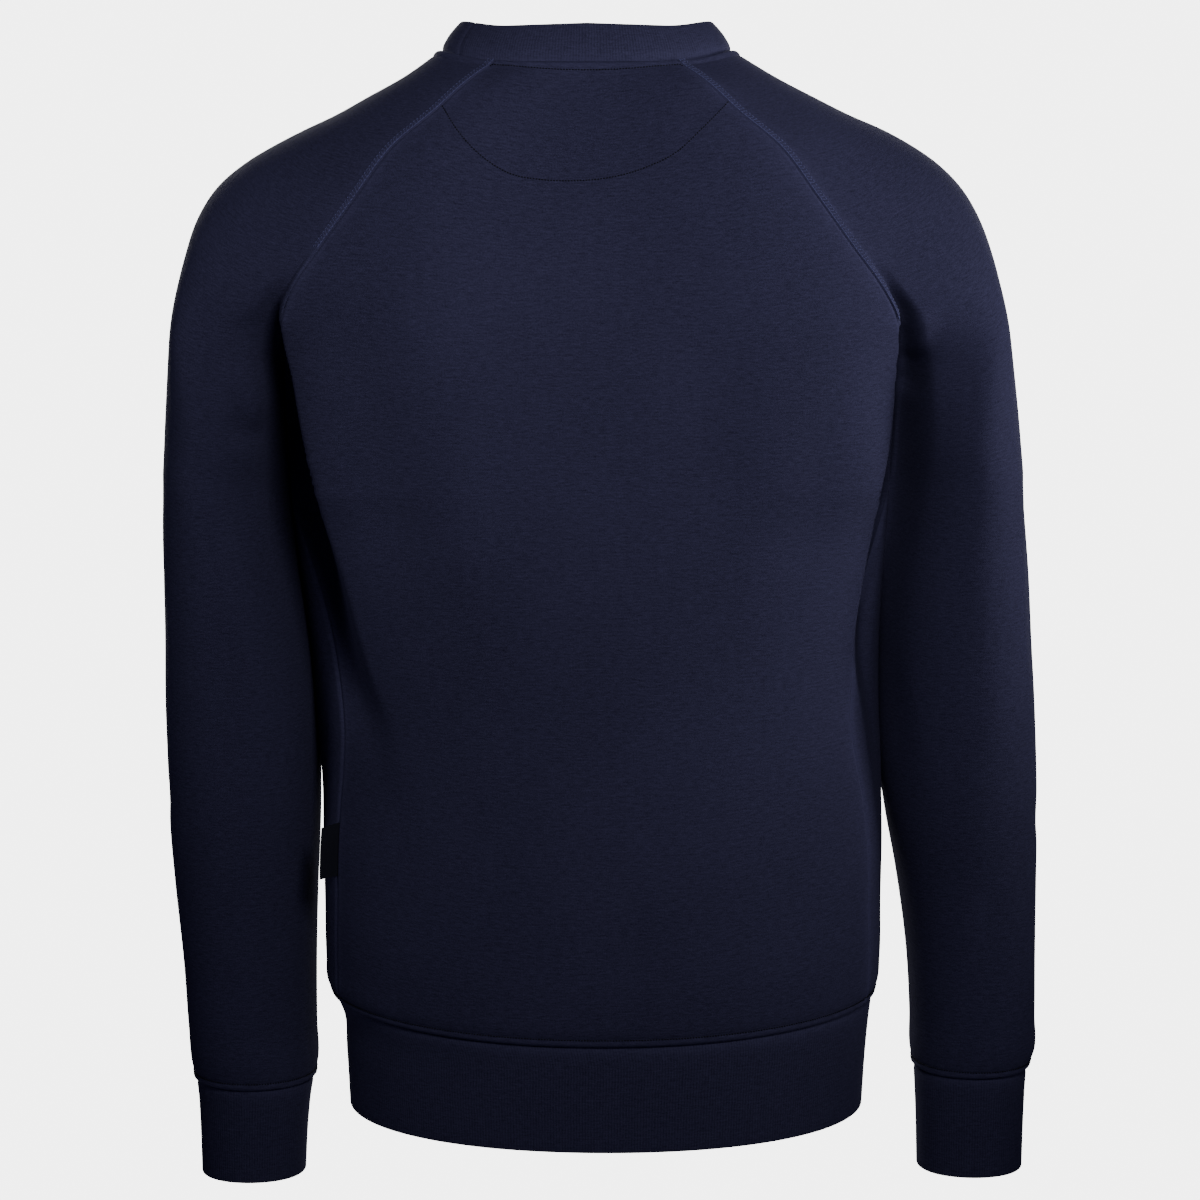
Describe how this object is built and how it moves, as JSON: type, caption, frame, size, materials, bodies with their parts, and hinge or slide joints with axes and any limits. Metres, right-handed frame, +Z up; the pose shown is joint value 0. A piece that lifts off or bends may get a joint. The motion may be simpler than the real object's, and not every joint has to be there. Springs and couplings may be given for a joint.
{
  "type": "crew-neck raglan sweatshirt",
  "caption": "Long-sleeved crew-neck sweatshirt with raglan sleeves, ribbed neckband, hem band and cuffs, filled out as worn and hollow inside.",
  "frame": {"origin": "middle of the neck opening, level with the points where the neck meets the shoulders, where the wearer's shoulders hold the garment up", "axes": "+Z up, the garment's front faces -Y and its back +Y, and its left side, as its wearer has it, is +X"},
  "size_m": [0.5678, 0.2447, 0.7627],
  "materials": {
    "sweatshirt_jersey": "matt brushed-back cotton jersey, navy",
    "cotton_rib": "matt doubled cotton rib, navy",
    "woven_label": "smooth woven polyester, dark navy"
  },
  "bodies": {
    "root": {"back": "sweatshirt_jersey", "front": "sweatshirt_jersey", "sleeve_left": "sweatshirt_jersey", "sleeve_right": "sweatshirt_jersey", "cuff_left": "cotton_rib", "cuff_right": "cotton_rib", "hem_band": "cotton_rib", "neckband": "cotton_rib", "side_label": "woven_label"}
  },
  "joints": []
}
